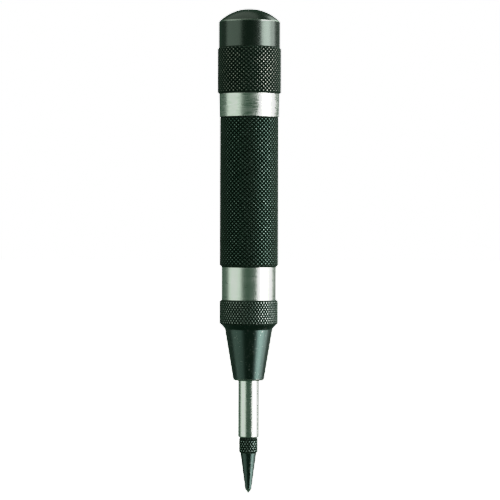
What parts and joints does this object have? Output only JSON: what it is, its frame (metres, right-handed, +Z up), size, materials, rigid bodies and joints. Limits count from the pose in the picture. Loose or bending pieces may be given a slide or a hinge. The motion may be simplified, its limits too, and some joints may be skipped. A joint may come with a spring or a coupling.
{
  "type": "automatic center punch",
  "caption": "Spring-loaded center punch with a knurled barrel, domed adjusting cap, screwed nose and sliding spindle with a replaceable point.",
  "frame": {"origin": "the working tip of the point, on the tool's axis", "axes": "+Z up the tool's axis from the tip to the domed cap; +X is the side the trip block sticks out to inside, so that X and Y are otherwise free"},
  "size_m": [0.0176, 0.0176, 0.1333],
  "materials": {
    "black_oxide": "black oxide on turned and knurled steel, semi-gloss",
    "ground_steel": "ground bright steel, bare",
    "hardened_steel": "hardened and ground steel, satin",
    "spring_wire": "oil-tempered spring wire"
  },
  "bodies": {
    "barrel": {"barrel": "black_oxide", "nose": "black_oxide", "main_spring": "spring_wire"},
    "spindle": {"spindle": "ground_steel", "point": "black_oxide", "drive_pin": "hardened_steel", "return_spring": "spring_wire"},
    "hammer": {"hammer": "hardened_steel", "trip_spring": "spring_wire"},
    "trip_block": {"trip_block": "hardened_steel"},
    "spring_seat": {"spring_seat": "hardened_steel"},
    "cap": {"cap": "black_oxide"}
  },
  "joints": [
    {"name": "spindle_slide", "type": "slide", "parent": "barrel", "child": "spindle", "axis": [0, 0, 1], "range_m": [0, 0.012], "stiffness_N_per_m": 4000, "springref_m": -0.002},
    {"name": "hammer_slide", "type": "slide", "parent": "barrel", "child": "hammer", "axis": [0, 0, 1], "range_m": [0, 0.012], "deforming": ["main_spring"]},
    {"name": "trip_block_slide", "type": "slide", "parent": "hammer", "child": "trip_block", "axis": [-1, 0, 0], "range_m": [0, 0.0008], "deforming": ["trip_spring"]},
    {"name": "cap_travel", "type": "slide", "parent": "barrel", "child": "spring_seat", "axis": [0, 0, 1], "range_m": [0, 0.00635]},
    {"name": "cap_turn", "type": "hinge", "parent": "spring_seat", "child": "cap", "pos_m": [0, 0, 0.1274], "axis": [0, 0, 1], "range_deg": [0, 1800]}
  ],
  "couplings": [
    {"joint": "hammer_slide", "follows": "spindle_slide", "ratio": 1},
    {"joint": "trip_block_slide", "follows": "spindle_slide", "ratio": 0.066666},
    {"joint": "cap_travel", "follows": "cap_turn", "m_per_rad": 0.00020212}
  ]
}
